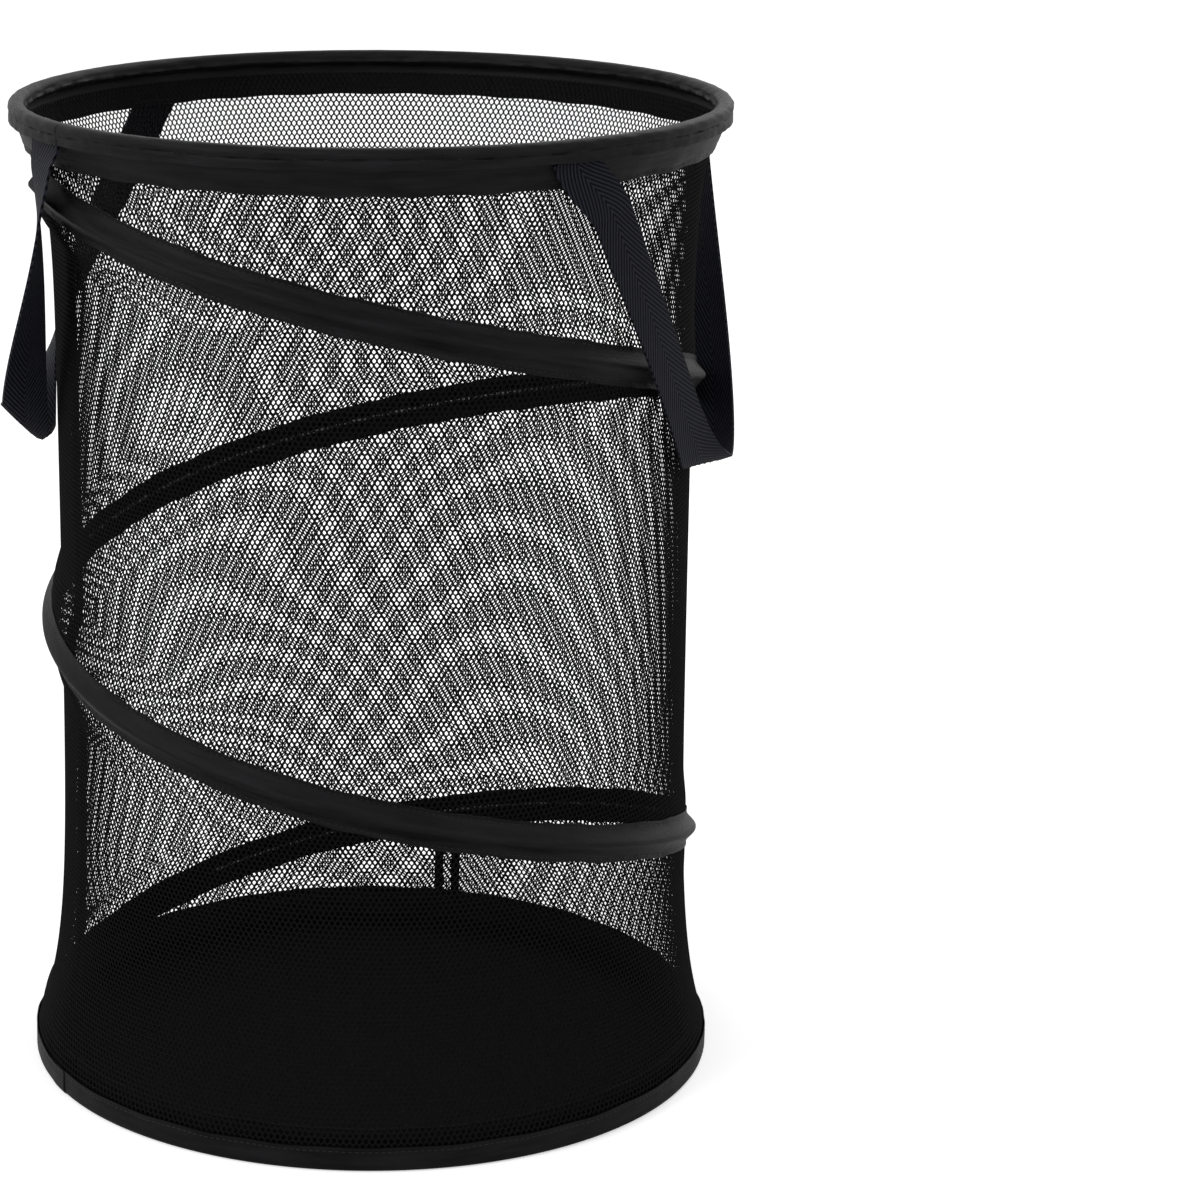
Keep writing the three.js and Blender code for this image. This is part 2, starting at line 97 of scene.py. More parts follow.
# Sizes read from the solids
rimLow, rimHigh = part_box("rim_roll")
bandLow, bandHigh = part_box("rim_band")
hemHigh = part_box("bottom_binding")[1]
rollRadius = 4.0 * mm

hoops = {
    "rollRadius": rollRadius,
    "rollHeight": rimHigh[2] - rollRadius,
    "rimRadius": rimHigh[0] - rollRadius,  # centre line of the top hoop
    "lipBottom": rimLow[2],
    "bandOuter": bandHigh[0],
    "bandBottom": bandLow[2],
    "bandTop": bandHigh[2],
    "baseOuter": hemHigh[0],
    "baseInner": hemHigh[0] - 7.8 * mm,  # the binding's inner side
    "outerHem": 13.5 * mm,  # tops of the two hems
    "innerHem": hemHigh[2],
}

wall = {
    "waist": 170.2 * mm,  # the net's radius, drawn in between the hoops
    "lean": 2.1 * mm,  # drawn in more at the side seam
    "rim": hoops["bandOuter"] - 1.1 * mm,
    "leanIn": 5.4 * mm,  # the band and the net behind it lean in by this much below the lip
    "base": hoops["baseOuter"] - 1.1 * mm,
    "rimFlare": 25 * mm,  # how fast the net widens towards each hoop
    "baseFlare": 45 * mm,
    "seamAngle": 221.25 * degree,
}

spiral = {
    "top": 493 * mm,  # middle of the sleeve at its upper end
    "pitch": 254.4 * mm,
    "start": 217.5 * degree,
    "wireTurn": 645 * degree,  # how far the wire goes round
    "tail": 46 * degree,  # sleeve past the wire's lower end, until the outer hem hides it
    "inside": 173.3 * mm,  # net under the sleeve, clear of both hoops
    "flareShare": 0.8,  # of the wall's widening that the spiral follows
    "hold": 12 * mm,  # the net is held out as far as this from the sleeve's middle
    "release": 36 * mm,  # and is free again here
    "fade": 14 * degree,
}


def smooth(share):
    s = np.clip(share, 0, 1)
    return s * s * (3 - 2 * s)


def flare(height):
    h = np.clip(height, hoops["outerHem"], hoops["bandBottom"])
    toRim = np.exp(-(hoops["bandBottom"] - h) / wall["rimFlare"])
    toBase = np.exp(-(h - hoops["outerHem"]) / wall["baseFlare"])
    return toRim, toBase


def spiralHeight(passed):
    return spiral["top"] - spiral["pitch"] * passed / fullTurn


def underSleeve(height):
    toRim, toBase = flare(height)
    out = (wall["rim"] - wall["waist"]) * toRim + (wall["base"] - wall["waist"]) * toBase
    return spiral["inside"] + spiral["flareShare"] * out


def bandLean(height):
    share = (hoops["lipBottom"] - height) / (hoops["lipBottom"] - hoops["bandBottom"])
    return wall["leanIn"] * np.clip(share, 0, 1)


def wallRadius(angle, height):
    toRim, toBase = flare(height)
    lean = wall["lean"] * np.cos(angle - wall["seamAngle"]) * (1 - toRim) * (1 - toBase)
    atRim = wall["rim"] - bandLean(height)
    radius = wall["waist"] - lean + (atRim - wall["waist"]) * toRim + (wall["base"] - wall["waist"]) * toBase
    gone = (angle - spiral["start"]) % fullTurn
    for turn in (-1, 0, 1):
        passed = gone + turn * fullTurn
        away = np.abs(height - spiralHeight(passed))
        hold = 1 - smooth((away - spiral["hold"]) / (spiral["release"] - spiral["hold"]))
        hold = hold * smooth((passed + spiral["fade"]) / spiral["fade"])
        hold = hold * smooth((spiral["wireTurn"] + spiral["tail"] + spiral["fade"] - passed) / spiral["fade"])
        radius = radius + (underSleeve(spiralHeight(passed)) - radius) * hold
    return radius


def around(radius, angle, height):
    return np.stack([radius * np.cos(angle), radius * np.sin(angle), height + 0 * angle], axis=1)


# Modelling steps that every piece uses
def only(*pieces):
    bpy.ops.object.select_all(action="DESELECT")
    for piece in pieces:
        piece.select_set(True)
    if pieces:
        bpy.context.view_layer.objects.active = pieces[0]


def renamed(piece, name):
    piece.name = name
    piece.data.name = name
    return piece


def pointsOf(piece):
    points = np.empty(len(piece.data.vertices) * 3)
    piece.data.vertices.foreach_get("co", points)
    return points.reshape(-1, 3)


def movePoints(piece, points):
    piece.data.vertices.foreach_set("co", points.reshape(-1))
    piece.data.update()


def flatCut(name, length, width, alongStep, acrossCount):
    only()
    bpy.ops.mesh.primitive_grid_add(
        x_subdivisions=max(1, round(length / alongStep)), y_subdivisions=acrossCount, size=1)
    cut = renamed(bpy.context.object, name)
    bpy.ops.transform.resize(value=(length, width, 1))
    bpy.ops.object.transform_apply(location=True, rotation=True, scale=True)
    mapAsCut(cut)
    return cut


def mapAsCut(cut):
    points = pointsOf(cut)
    corners = np.empty(len(cut.data.loops), dtype=np.int32)
    cut.data.loops.foreach_get("vertex_index", corners)
    cut.data.uv_layers.active.data.foreach_set("uv", points[corners][:, :2].reshape(-1))


def thicken(piece, thickness, offset):
    only(piece)
    solid = piece.modifiers.new("thickness", "SOLIDIFY")
    solid.thickness = thickness
    solid.offset = offset
    bpy.ops.object.modifier_apply(modifier=solid.name)


def facingOut(piece):
    only(piece)
    bpy.ops.object.mode_set(mode="EDIT")
    bpy.ops.mesh.select_all(action="SELECT")
    bpy.ops.mesh.remove_doubles(threshold=0.01 * mm)
    bpy.ops.mesh.normals_make_consistent(inside=False)
    bpy.ops.object.mode_set(mode="OBJECT")


def shade(piece, angle=40):
    only(piece)
    bpy.ops.object.shade_smooth_by_angle(angle=angle * degree)
    return piece


def finishPiece(piece, material, body, replaced=()):
    piece.data.materials.clear()
    piece.data.materials.append(material)
    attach(piece, body)
    if replaced:
        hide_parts(*replaced)
    return piece


# Materials
def linear(colour):
    parts = [int(colour[i:i + 2], 16) / 255 for i in (1, 3, 5)]
    return [c / 12.92 if c <= 0.04045 else ((c + 0.055) / 1.055) ** 2.4 for c in parts] + [1]


def addNode(tree, kind, inputs=None, **settings):
    node = tree.nodes.new("ShaderNode" + kind)
    for key, value in settings.items():
        setattr(node, key, value)
    for key, value in (inputs or {}).items():
        if isinstance(value, bpy.types.NodeSocket):
            tree.links.new(value, node.inputs[key])
        else:
            node.inputs[key].default_value = value
    return node


def newMaterial(name):
    material = bpy.data.materials.new(name)
    material.use_nodes = True
    return material, material.node_tree, material.node_tree.nodes["Principled BSDF"]


def setShader(shader, **values):
    for key, value in values.items():
        shader.inputs[key.replace("_", " ")].default_value = value


def mixedColour(tree, share, dark, light):
    mix = addNode(tree, "Mix", data_type="RGBA")
    tree.links.new(share, mix.inputs[0])
    mix.inputs[6].default_value = linear(dark)
    mix.inputs[7].default_value = linear(light)
    return mix.outputs[2]


def threadWaves(tree, vector, alongPitch, acrossPitch):
    turned = addNode(tree, "VectorMath", {0: vector, 1: (fullTurn / alongPitch, fullTurn / acrossPitch, 1)},
                     operation="MULTIPLY")
    parts = addNode(tree, "SeparateXYZ", {0: turned.outputs[0]})
    along = addNode(tree, "Math", {0: parts.outputs[0]}, operation="SINE")
    across = addNode(tree, "Math", {0: parts.outputs[1]}, operation="SINE")
    return addNode(tree, "Math", {0: along.outputs[0], 1: across.outputs[0]}, operation="MULTIPLY").outputs[0]


def bumped(tree, shader, height, distance, strength=1, normal=None):
    bump = addNode(tree, "Bump", {"Height": height, "Distance": distance, "Strength": strength})
    if normal is not None:
        tree.links.new(normal, bump.inputs["Normal"])
    tree.links.new(bump.outputs[0], shader.inputs["Normal"])
    return bump.outputs[0]


tapeLook = {
    # dark and light: the tape's colour painted in the creases' troughs and on their crests, as painted shade and
    # painted sheen
    "dark": "#0b0b0c",
    "light": "#1b1b1d",
    "thread": 0.55 * mm,  # real threads are about 0.2 mm, drawn coarser so that they show
    "creaseAlong": 38 * mm,
    "creaseAcross": 5 * mm,
}


def satinTapeMaterial():  # woven polyester tape, calendered: smooth, with a soft sheen along it
    material, tree, shader = newMaterial("polyester tape, satin")
    cut = addNode(tree, "UVMap").outputs[0]
    stretched = addNode(tree, "Mapping", {
        "Vector": cut, "Scale": (1 / tapeLook["creaseAlong"], 1 / tapeLook["creaseAcross"], 1)})
    creases = addNode(tree, "TexNoise", {
        "Vector": stretched.outputs[0], "Scale": 1.0, "Detail": 4, "Roughness": 0.6})
    creaseShading = addNode(tree, "MapRange", {"Value": creases.outputs[0], "From Min": 0.32, "From Max": 0.68})
    weave = threadWaves(tree, cut, tapeLook["thread"], tapeLook["thread"])
    # the colour follows the creases' height: painted sheen on their crests and painted shade in their troughs
    colour = mixedColour(tree, creaseShading.outputs[0], tapeLook["dark"], tapeLook["light"])
    tree.links.new(colour, shader.inputs["Base Color"])
    rough = addNode(tree, "MapRange", {"Value": creases.outputs[0], "To Min": 0.3, "To Max": 0.55})
    tree.links.new(rough.outputs[0], shader.inputs["Roughness"])
    folded = bumped(tree, shader, creases.outputs[0], 1.1 * mm, 0.8)
    bumped(tree, shader, weave, 0.05 * mm, 0.5, folded)
    setShader(shader, Specular_IOR_Level=0.075)
    return material


def netMaterial():  # knitted polyester yarn: matt black with faint glints
    material, tree, shader = newMaterial("polyester net, knitted")
    place = addNode(tree, "TexCoord").outputs["Object"]
    grain = addNode(tree, "TexNoise", {"Vector": place, "Scale": 1 / (0.6 * mm), "Detail": 1})
    tree.links.new(mixedColour(tree, grain.outputs[0], "#070708", "#121213"), shader.inputs["Base Color"])
    bumped(tree, shader, grain.outputs[0], 0.1 * mm, 0.6)
    setShader(shader, Roughness=0.6, Specular_IOR_Level=0.05)
    return material


floorLook = {"thread": 1.1 * mm, "wave": 45 * mm}  # real threads are about 0.4 mm


def floorMaterial():  # plain woven polyester cloth, coated below: dull, with an even grain
    material, tree, shader = newMaterial("polyester cloth, plain weave")
    place = addNode(tree, "TexCoord").outputs["Object"]
    weave = threadWaves(tree, place, floorLook["thread"], floorLook["thread"])
    waves = addNode(tree, "TexNoise", {"Vector": place, "Scale": 1 / floorLook["wave"], "Detail": 2})
    tree.links.new(mixedColour(tree, waves.outputs[0], "#040405", "#0c0c0e"), shader.inputs["Base Color"])
    bumped(tree, shader, weave, 0.12 * mm, 0.7)
    setShader(shader, Roughness=0.7, Specular_IOR_Level=0.04)
    return material


webbingLook = {
    "rib": 1.9 * mm,  # between the herringbone's ribs, drawn a little coarser so that they show
    "ribAngle": 26 * degree,  # from the strap's length
    "pick": 0.8 * mm,  # the stitches along one rib
}


def webbingMaterial():  # herringbone polyester webbing: ribs that meet along its middle
    material, tree, shader = newMaterial("polyester webbing, herringbone")
    cut = addNode(tree, "UVMap").outputs[0]
    parts = addNode(tree, "SeparateXYZ", {0: cut})
    half = addNode(tree, "Math", {0: parts.outputs[1]}, operation="ABSOLUTE")
    sine, cosine = math.sin(webbingLook["ribAngle"]), math.cos(webbingLook["ribAngle"])
    along = addNode(tree, "Math", {0: parts.outputs[0], 1: fullTurn * sine / webbingLook["rib"]},
                    operation="MULTIPLY")
    phase = addNode(tree, "Math", {0: half.outputs[0], 1: -fullTurn * cosine / webbingLook["rib"],
                                   2: along.outputs[0]}, operation="MULTIPLY_ADD")
    rib = addNode(tree, "Math", {0: phase.outputs[0]}, operation="SINE")
    share = addNode(tree, "MapRange", {"Value": rib.outputs[0], "From Min": -1, "From Max": 1})
    pickAcross = addNode(tree, "Math", {0: half.outputs[0], 1: fullTurn * sine / webbingLook["pick"]},
                         operation="MULTIPLY")
    pickPhase = addNode(tree, "Math", {0: parts.outputs[0], 1: fullTurn * cosine / webbingLook["pick"],
                                       2: pickAcross.outputs[0]}, operation="MULTIPLY_ADD")
    picks = addNode(tree, "Math", {0: pickPhase.outputs[0]}, operation="SINE")
    height = addNode(tree, "Math", {0: picks.outputs[0], 1: 0.25, 2: share.outputs[0]}, operation="MULTIPLY_ADD")
    # the ribs are the weave's own pattern; their crests painted lighter and their troughs darker are painted
    # highlight and painted shade
    tree.links.new(mixedColour(tree, share.outputs[0], "#010101", "#2b2c36"), shader.inputs["Base Color"])
    bumped(tree, shader, height.outputs[0], 0.5 * mm, 1)
    setShader(shader, Roughness=0.5, Specular_IOR_Level=0.05)
    return material


def ribbonMaterial():  # narrow woven ribbon: fine ribs across it
    material, tree, shader = newMaterial("polyester ribbon, ribbed")
    place = addNode(tree, "TexCoord").outputs["Object"]
    parts = addNode(tree, "SeparateXYZ", {0: place})
    turned = addNode(tree, "Math", {0: parts.outputs[2], 1: fullTurn / (0.9 * mm)}, operation="MULTIPLY")
    rib = addNode(tree, "Math", {0: turned.outputs[0]}, operation="SINE")
    share = addNode(tree, "MapRange", {"Value": rib.outputs[0], "From Min": -1, "From Max": 1})
    # the ribs' crests are painted lighter and their troughs darker: painted highlight and painted shade
    tree.links.new(mixedColour(tree, share.outputs[0], "#0a0a0b", "#161618"), shader.inputs["Base Color"])
    bumped(tree, shader, rib.outputs[0], 0.1 * mm, 0.8)
    setShader(shader, Roughness=0.6, Specular_IOR_Level=0.12)
    return material


def threadMaterial():  # twisted polyester sewing thread: darker than the tape, a little glossier
    material, tree, shader = newMaterial("polyester sewing thread")
    place = addNode(tree, "TexCoord").outputs["Object"]
    twist = addNode(tree, "TexNoise", {"Vector": place, "Scale": 1 / (0.5 * mm)})
    tree.links.new(mixedColour(tree, twist.outputs[0], "#0b0b0c", "#1c1c1f"), shader.inputs["Base Color"])
    setShader(shader, Roughness=0.4, Specular_IOR_Level=0.25)
    return material


def springSteelMaterial():  # drawn spring steel wire: grey with faint lines along it
    material, tree, shader = newMaterial("spring steel, drawn")
    place = addNode(tree, "TexCoord").outputs["Object"]
    drawn = addNode(tree, "TexNoise", {"Vector": place, "Scale": 1 / (3 * mm), "Detail": 4})
    rough = addNode(tree, "MapRange", {"Value": drawn.outputs[0], "To Min": 0.28, "To Max": 0.5})
    tree.links.new(mixedColour(tree, drawn.outputs[0], "#66696d", "#8a8d91"), shader.inputs["Base Color"])
    tree.links.new(rough.outputs[0], shader.inputs["Roughness"])
    setShader(shader, Metallic=1.0)
    return material


def zincMaterial():  # zinc-plated steel tube: pale grey, faintly mottled
    material, tree, shader = newMaterial("steel, zinc-plated")
    place = addNode(tree, "TexCoord").outputs["Object"]
    mottled = addNode(tree, "TexVoronoi", {"Vector": place, "Scale": 1 / (2 * mm)})
    tree.links.new(mixedColour(tree, mottled.outputs[0], "#9a9ea2", "#b4b8bc"), shader.inputs["Base Color"])
    setShader(shader, Metallic=1.0, Roughness=0.38)
    return material


def vinylMaterial():  # dipped soft vinyl cap: dull black, slightly uneven
    material, tree, shader = newMaterial("vinyl, dipped")
    place = addNode(tree, "TexCoord").outputs["Object"]
    dip = addNode(tree, "TexNoise", {"Vector": place, "Scale": 1 / (2.5 * mm)})
    tree.links.new(mixedColour(tree, dip.outputs[0], "#101010", "#1b1b1b"), shader.inputs["Base Color"])
    bumped(tree, shader, dip.outputs[0], 0.1 * mm, 0.5)
    setShader(shader, Roughness=0.5, Specular_IOR_Level=0.4)
    return material


tape = satinTapeMaterial()
net = netMaterial()
floorCloth = floorMaterial()
webbing = webbingMaterial()
ribbon = ribbonMaterial()
thread = threadMaterial()
steel = springSteelMaterial()
zinc = zincMaterial()
vinyl = vinylMaterial()
print("materials made")


# The hoops and their ferrules stay as the solids are, in their own finishes
hiddenParts = {
    "bottom_hoop_wire": steel,
    "top_hoop_wire": steel,
    "bottom_hoop_ferrule": zinc,
    "top_hoop_ferrule": zinc,
}
for nodeName, finish in hiddenParts.items():
    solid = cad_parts[nodeName]
    solid.data.materials.clear()
    solid.data.materials.append(finish)
    shade(solid, 50)


# Net: one knitted cell, repeated over a flat panel, and eight panels stretched round the hoops
netCut = {
    "panels": 8,
    "columns": 44,  # cells across one panel
    "rows": 200,
    "low": 3.2 * mm,
    "high": 519 * mm,
    "holeWide": 1.07,  # half sizes of a hole, in mm
    "holeTall": 1.46,
    "holeCorner": (0.72, 0.84),  # where the sides of a hole bend, between its four points
    "pitch": 3.07,
    "row": 2.659,
    "depth": 0.6 * mm,  # the yarn stands this far out between the holes
    "drift": 0.5 * mm,  # how far the rows wander
    "steady": 60 * mm,  # they don't near the hoops
    "under": 0.45 * mm,  # how far the double strip lies behind the panels
    "overlap": 4,  # columns that lie double at the seam
}


def netCell():
    only()
    bpy.ops.mesh.primitive_circle_add(vertices=6, radius=netCut["pitch"] / math.sqrt(3), fill_type="NOTHING")
    cell = renamed(bpy.context.object, "net cell")
    bpy.ops.object.mode_set(mode="EDIT")
    bpy.ops.mesh.select_all(action="DESELECT")
    bpy.ops.mesh.primitive_circle_add(vertices=8, radius=1, fill_type="NOTHING")
    bpy.ops.transform.resize(value=(netCut["holeWide"], netCut["holeTall"], 1))
    bpy.ops.transform.translate(value=(0, 0, -1))
    bpy.ops.mesh.select_all(action="SELECT")
    bpy.ops.mesh.bridge_edge_loops()
    bpy.ops.mesh.quads_convert_to_tris()
    bpy.ops.object.mode_set(mode="OBJECT")
    points = pointsOf(cell)
    corner = (points[:, 2] < -0.5) & (np.abs(points[:, 0]) > 0.3) & (np.abs(points[:, 1]) > 0.3)
    points[corner, :2] = np.sign(points[corner, :2]) * netCut["holeCorner"]
    movePoints(cell, points)
    return cell


def netPanel(columns):
    panel = netCell()
    only(panel)
    bpy.ops.object.mode_set(mode="EDIT")
    bpy.ops.mesh.select_all(action="SELECT")
    bpy.ops.mesh.duplicate()
    bpy.ops.transform.translate(value=(netCut["pitch"] / 2, netCut["row"], 0))
    bpy.ops.object.mode_set(mode="OBJECT")
    for count, step in ((columns, (netCut["pitch"], 0, 0)), (netCut["rows"] // 2, (0, 2 * netCut["row"], 0))):
        repeat = panel.modifiers.new("repeat", "ARRAY")
        repeat.count = count
        repeat.use_relative_offset = False
        repeat.use_constant_offset = True
        repeat.constant_offset_displace = step
        bpy.ops.object.modifier_apply(modifier=repeat.name)
    return panel


def stretchedPanel(flat, name, first, outward):
    only(flat)
    bpy.ops.object.duplicate()
    panel = renamed(bpy.context.object, name)
    points = pointsOf(panel)
    total = netCut["panels"] * netCut["columns"]
    column = points[:, 0] / netCut["pitch"] + first
    row = points[:, 1] / netCut["row"]
    angle = wall["seamAngle"] + fullTurn * column / total
    height = netCut["low"] + (netCut["high"] - netCut["low"]) * row / netCut["rows"]
    fromHem = smooth((height - hoops["innerHem"]) / netCut["steady"])
    drift = netCut["drift"] * (fromHem * smooth((hoops["bandBottom"] - height) / netCut["steady"]))
    wander = np.sin(3 * angle + height * 41) + 0.6 * np.sin(7 * angle - height * 67 + 1.3)
    lift = np.sin(5 * angle - height * 29 + 0.7) + 0.7 * np.sin(2 * angle + height * 53 + 2.1)
    angle = angle + drift * wander / wall["waist"]
    height = height + drift * lift
    proud = np.where(points[:, 2] < -0.5, 0, netCut["depth"]) - netCut["depth"]
    movePoints(panel, around(wallRadius(angle, height) + proud + outward, angle, height))
    facingOut(panel)
    shade(panel, 180)
    return panel


flatPanel = netPanel(netCut["columns"])
netPanels = []
for i in range(netCut["panels"]):
    netPanels.append(stretchedPanel(flatPanel, f"net_panel_{i + 1}", i * netCut["columns"], 0))
bpy.data.objects.remove(flatPanel)
flatStrip = netPanel(netCut["overlap"])
netOverlap = stretchedPanel(flatStrip, "net_overlap", -netCut["overlap"] // 2, -netCut["under"])
bpy.data.objects.remove(flatStrip)
for panel in [*netPanels, netOverlap]:
    finishPiece(panel, net, "base", ["mesh_wall"])
print("net stretched,", sum(len(panel.data.polygons) for panel in netPanels), "faces")


# Tapes: each is cut flat, laid round the hamper and given its thickness
tapeThickness = 0.45 * mm
stitchDip = 0.9 * mm  # half width of the dent that a row of stitches pulls


def alongProfile(profile, across):
    points = np.array(profile)
    steps = np.hypot(*np.diff(points, axis=0).T)
    reach = np.concatenate([[0], np.cumsum(steps)])
    return np.interp(across, reach, points[:, 0]), np.interp(across, reach, points[:, 1])


def profileLength(profile):
    return float(np.hypot(*np.diff(np.array(profile), axis=0).T).sum())


def arc(radius, height, size, start, end, steps):
    turns = [start + (end - start) * i / steps for i in range(steps + 1)]
    return [(radius + size * math.cos(t), height + size * math.sin(t)) for t in turns]


def ringTape(name, profile, look):
    width = profileLength(profile)
    reach = fullTurn * profile[0][0]
    length = reach + look["overlap"]
    strip = flatCut(name, length, width, look["alongStep"], look["acrossCount"])
    points = pointsOf(strip)
    gone = (points[:, 0] + length / 2) / reach * fullTurn
    angle = look["join"] + gone
    radius, height = alongProfile(profile, points[:, 1] + width / 2)
    over = smooth((gone - fullTurn + look["lapTurn"]) / look["lapTurn"])
    dent, rise = look["ripple"](angle, height)
    movePoints(strip, around(radius + over * look["lapOut"] + dent, angle, height + rise))
    return strip


rimTape = {
    "overlap": 4 * mm,  # of the tape's end over its start
    "lapTurn": 2 * degree,  # over which the end comes out on top
    "lapOut": 0.2 * mm,
    "alongStep": 2.4 * mm,
    "acrossCount": 34,
    "stitchHeight": 524.8 * mm,
    "join": 231 * degree,
    "pucker": 1.1 * mm,
}
rollCut = {
    "lipTurn": 26 * degree,  # round the roll, from its outermost line down to the lip
    "lipTop": 3.2 * mm,  # below the roll's middle
    "from": 240 * degree,
    "turn": 266 * degree,
    "steps": 28,
}


def rollRipple(angle, height):
    below = smooth((hoops["rollHeight"] - 1 * mm - height) / (3 * mm))
    away = (height - rimTape["stitchHeight"] - 0.3 * mm * np.sin(9 * angle)) / stitchDip
    uneven = 0.3 * np.sin(331 * angle) + 0.3 * np.sin(58 * angle + 1)
    pull = rimTape["pucker"] * np.exp(-away ** 2) * (0.75 + uneven)
    wave = np.sin(23 * angle) + 0.7 * np.sin(41 * angle + 1) + 0.5 * np.sin(67 * angle + 2)
    wave = wave + 0.5 * np.sin(113 * angle)
    top = smooth((height - hoops["rollHeight"]) / (2 * mm))
    crumple = 0.16 * mm * top * (np.sin(47 * angle + 2) + 0.8 * np.sin(89 * angle + height * 900))
    return -pull + below * 0.16 * mm * wave + crumple, below * 0.22 * mm * np.sin(31 * angle + 0.5)


def makeRimRoll():
    lipRadius = hoops["rimRadius"] + hoops["rollRadius"] * math.cos(rollCut["lipTurn"])
    squared = []
    for i in range(rollCut["steps"] + 1):  # an arc pulled a little square, flatter towards the outside
        turn = rollCut["from"] - rollCut["turn"] * i / rollCut["steps"]
        out, up = math.cos(turn), math.sin(turn)
        out = math.copysign(abs(out) ** 0.8, out)
        up = math.copysign(abs(up) ** 0.85, up)
        squared.append((hoops["rimRadius"] + hoops["rollRadius"] * out,
                        hoops["rollHeight"] + hoops["rollRadius"] * up))
    squared.append((lipRadius, hoops["rollHeight"] - rollCut["lipTop"]))
    squared.append((lipRadius, hoops["lipBottom"]))
    roll = ringTape("rim_roll_tape", squared, {**rimTape, "ripple": rollRipple})
    thicken(roll, tapeThickness, -1)
    return shade(roll)


bandTape = {
    **rimTape,
    "overlap": -14 * mm,  # a gap, where the sleeve's upper end lies
    "acrossCount": 12,
    "join": 226.5 * degree,
    "lapOut": 0,
    "stitchUp": 2.4 * mm,  # from the band's lower edge
}


def bandRipple(angle, height):
    low = smooth((hoops["bandTop"] - 3 * mm - height) / (12 * mm))
    wave = np.sin(19 * angle + 1) + 0.8 * np.sin(37 * angle) + 0.4 * np.sin(71 * angle + 2)
    away = (height - hoops["bandBottom"] - bandTape["stitchUp"]) / stitchDip
    pull = 0.35 * mm * np.exp(-away ** 2) * (1 + 0.6 * np.sin(163 * angle))
    push = wallRadius(angle, height) + 1 * mm - hoops["bandOuter"] + bandLean(height)
    return 0.2 * mm * low * wave - pull + np.maximum(0, push), 0.3 * mm * low * np.sin(29 * angle + 0.4)


def makeRimBand():
    outer = hoops["bandOuter"]
    leaning = outer - wall["leanIn"]
    profile = [(outer, hoops["bandTop"]), (outer, hoops["lipBottom"]), (leaning, hoops["bandBottom"])]
    band = ringTape("rim_band_tape", profile, {**bandTape, "ripple": bandRipple})
    thicken(band, tapeThickness, -1)
    return shade(band)


hemTape = {
    **rimTape,
    "overlap": 11 * mm,
    "lapTurn": 3 * degree,
    "lapOut": 0.5 * mm,
    "acrossCount": 40,
    "join": 222.5 * degree,
    "corner": 2.6 * mm,  # where the tape turns under the hoop
    "floorGap": 0.1 * mm,
    "stitchHeight": 11.2 * mm,
    "innerStitchUp": 4 * mm,  # how much higher the inner hem's row is
}


def hemRipple(angle, height):
    up = smooth(height / (12 * mm))
    wave = np.sin(17 * angle) + 0.8 * np.sin(33 * angle + 2) + 0.4 * np.sin(61 * angle + 1)
    away = (height - hemTape["stitchHeight"]) / stitchDip
    pull = 0.2 * mm * np.exp(-away ** 2) * (1 + 0.4 * np.sin(157 * angle))
    return 0.16 * mm * wave * up - pull, 0.25 * mm * up * np.sin(27 * angle + 1)


def makeBottomBinding():
    outer, inner, corner = hoops["baseOuter"], hoops["baseInner"], hemTape["corner"]
    height = corner + hemTape["floorGap"]
    profile = [(outer, hoops["outerHem"])]
    profile += arc(outer - corner, height, corner, 0, -90 * degree, 6)
    profile += arc(inner + corner, height, corner, -90 * degree, -180 * degree, 6)
    profile.append((inner, hoops["innerHem"]))
    hem = ringTape("bottom_binding_tape", profile, {**hemTape, "ripple": hemRipple})
    thicken(hem, tapeThickness, 1)
    return shade(hem)


sleeveCut = {
    "width": 21 * mm,
    "bump": 5.3 * mm,  # over the wire
    "flap": 8.4 * mm,  # from the middle to the rows of stitches
    "crown": 0.9 * mm,  # half width of the bump's flat top
    "foot": 0.6 * mm,  # the bump ends this far from the stitches
    "flatShare": 0.12,  # what is left of the bump past the wire's end
    "gap": 0.5 * mm,  # over the net
    "alongStep": 3 * mm,
    "acrossCount": 30,
}


def sleeveBump(across, passed):
    side = sleeveCut["flap"] - sleeveCut["crown"] - sleeveCut["foot"]
    share = np.clip((np.abs(across) - sleeveCut["crown"]) / side, 0, 1)
    rise = 0.65 * (1 - share) ** 1.25 + 0.35 * (1 - smooth(share))
    onWire = smooth((spiral["wireTurn"] + 1 * degree - passed) / (5 * degree))
    return sleeveCut["bump"] * rise * (sleeveCut["flatShare"] + (1 - sleeveCut["flatShare"]) * onWire)


def sleevePlace(passed, across):
    middle = spiralHeight(passed)
    # at its lower end the sleeve is cut off along the outer hem
    lowest = np.maximum(-sleeveCut["width"] / 2, hoops["outerHem"] + 0.3 * mm - middle)
    highest = np.maximum(sleeveCut["width"] / 2, lowest + 0.4 * mm)
    share = across / sleeveCut["width"] + 0.5
    across = lowest + (highest - lowest) * share
    angle = spiral["start"] + passed
    wave = np.sin(passed * 21) + 0.7 * np.sin(passed * 37 + 1) + 0.5 * np.sin(passed * 63 + 2)
    edge = smooth((np.abs(across) - 5 * mm) / (5 * mm))
    height = middle + across + 0.3 * mm * edge * wave
    puckers = 1 + 0.5 * np.sin(passed * 173) + 0.4 * np.sin(passed * 91 + 2)
    pull = 0.32 * mm * puckers * np.exp(-((np.abs(across) - sleeveCut["flap"]) / stitchDip) ** 2)
    radius = wallRadius(angle, height) + sleeveCut["gap"] + sleeveBump(across, passed) - pull
    return around(radius + 0.12 * mm * edge * (1 + wave), angle, height)


sleeveTurn = spiral["wireTurn"] + spiral["tail"]
sleeveLength = sleeveTurn * math.hypot(spiral["inside"], spiral["pitch"] / fullTurn)


